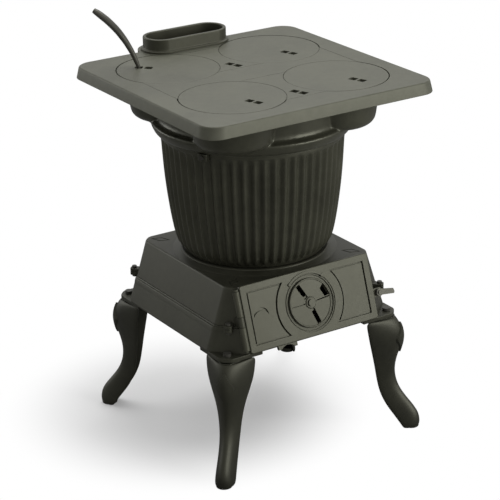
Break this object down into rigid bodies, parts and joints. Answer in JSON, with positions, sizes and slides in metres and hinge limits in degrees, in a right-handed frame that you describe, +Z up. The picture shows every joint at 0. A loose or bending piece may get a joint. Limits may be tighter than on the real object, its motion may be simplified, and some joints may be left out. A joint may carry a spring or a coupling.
{
  "type": "potbelly stove",
  "caption": "Cast-iron potbelly stove with a square cooking top, lift-out lids, fluted fire pot and draft door on four cabriole legs.",
  "frame": {"origin": "centre of the stove's plan on the floor", "axes": "+Z up, front (draft door) towards -Y, +X to the right seen from the front"},
  "size_m": [0.5226, 0.5602, 0.857],
  "materials": {
    "top_iron": "satin",
    "cast_iron": "satin",
    "door_iron": "satin",
    "bolt_steel": "satin"
  },
  "bodies": {
    "root": {"top_plate": "top_iron", "long_center_piece": "top_iron", "flue_collar": "cast_iron", "pot_top": "cast_iron", "fire_pot": "cast_iron", "pot_bolt_left": "bolt_steel", "pot_bolt_right": "bolt_steel", "base_hood": "cast_iron", "base_pan": "cast_iron", "leg_front_left": "cast_iron", "leg_front_right": "cast_iron", "leg_rear_left": "cast_iron", "leg_rear_right": "cast_iron", "leg_bolt_rear_right": "bolt_steel", "leg_bolt_rear_left": "bolt_steel", "leg_bolt_front_left": "bolt_steel", "leg_bolt_front_right": "bolt_steel", "base_bolt_rear_right": "bolt_steel", "base_bolt_rear_left": "bolt_steel", "base_bolt_front_left": "bolt_steel", "base_bolt_front_right": "bolt_steel", "hinge_pin": "bolt_steel"},
    "lid_front_left": {"lid_front_left": "top_iron"},
    "lid_front_right": {"lid_front_right": "top_iron"},
    "lid_rear_left": {"lid_rear_left": "top_iron"},
    "lid_rear_right": {"lid_rear_right": "top_iron"},
    "center_front": {"short_center_front": "top_iron"},
    "center_rear": {"short_center_rear": "top_iron"},
    "lifter": {"lid_lifter": "cast_iron"},
    "grate": {"grate": "cast_iron"},
    "door": {"draft_door": "door_iron", "draft_rivet": "bolt_steel", "latch_pin": "bolt_steel"},
    "spinner": {"draft_spinner": "door_iron"},
    "latch": {"door_latch": "door_iron"}
  },
  "joints": [
    {"name": "lid_front_left_lift", "type": "slide", "parent": "root", "child": "lid_front_left", "axis": [0, 0, 1], "range_m": [0, 0.12]},
    {"name": "lid_front_right_lift", "type": "slide", "parent": "root", "child": "lid_front_right", "axis": [0, 0, 1], "range_m": [0, 0.12]},
    {"name": "lid_rear_left_lift", "type": "slide", "parent": "root", "child": "lid_rear_left", "axis": [0, 0, 1], "range_m": [0, 0.12]},
    {"name": "lid_rear_right_lift", "type": "slide", "parent": "root", "child": "lid_rear_right", "axis": [0, 0, 1], "range_m": [0, 0.12]},
    {"name": "center_front_lift", "type": "slide", "parent": "root", "child": "center_front", "axis": [0, 0, 1], "range_m": [0, 0.1]},
    {"name": "center_rear_lift", "type": "slide", "parent": "root", "child": "center_rear", "axis": [0, 0, 1], "range_m": [0, 0.1]},
    {"name": "lifter_pull", "type": "slide", "parent": "lid_rear_left", "child": "lifter", "axis": [0, 0, 1], "range_m": [0, 0.05]},
    {"name": "grate_shake", "type": "hinge", "parent": "root", "child": "grate", "pos_m": [0, -0.01885, 0.389], "axis": [0, 0, 1], "range_deg": [-20, 20]},
    {"name": "door_hinge", "type": "hinge", "parent": "root", "child": "door", "pos_m": [-0.159, -0.21331, 0.31956], "axis": [0, -0.3128, -0.9498], "range_deg": [0, 110]},
    {"name": "spinner_turn", "type": "hinge", "parent": "door", "child": "spinner", "pos_m": [0.0005, -0.21426, 0.31988], "axis": [0, -0.9498, 0.3128], "range_deg": [-33, 12]},
    {"name": "latch_turn", "type": "hinge", "parent": "door", "child": "latch", "pos_m": [0.162, -0.21958, 0.30373], "axis": [0, -0.9498, 0.3128], "range_deg": [0, 75]}
  ]
}
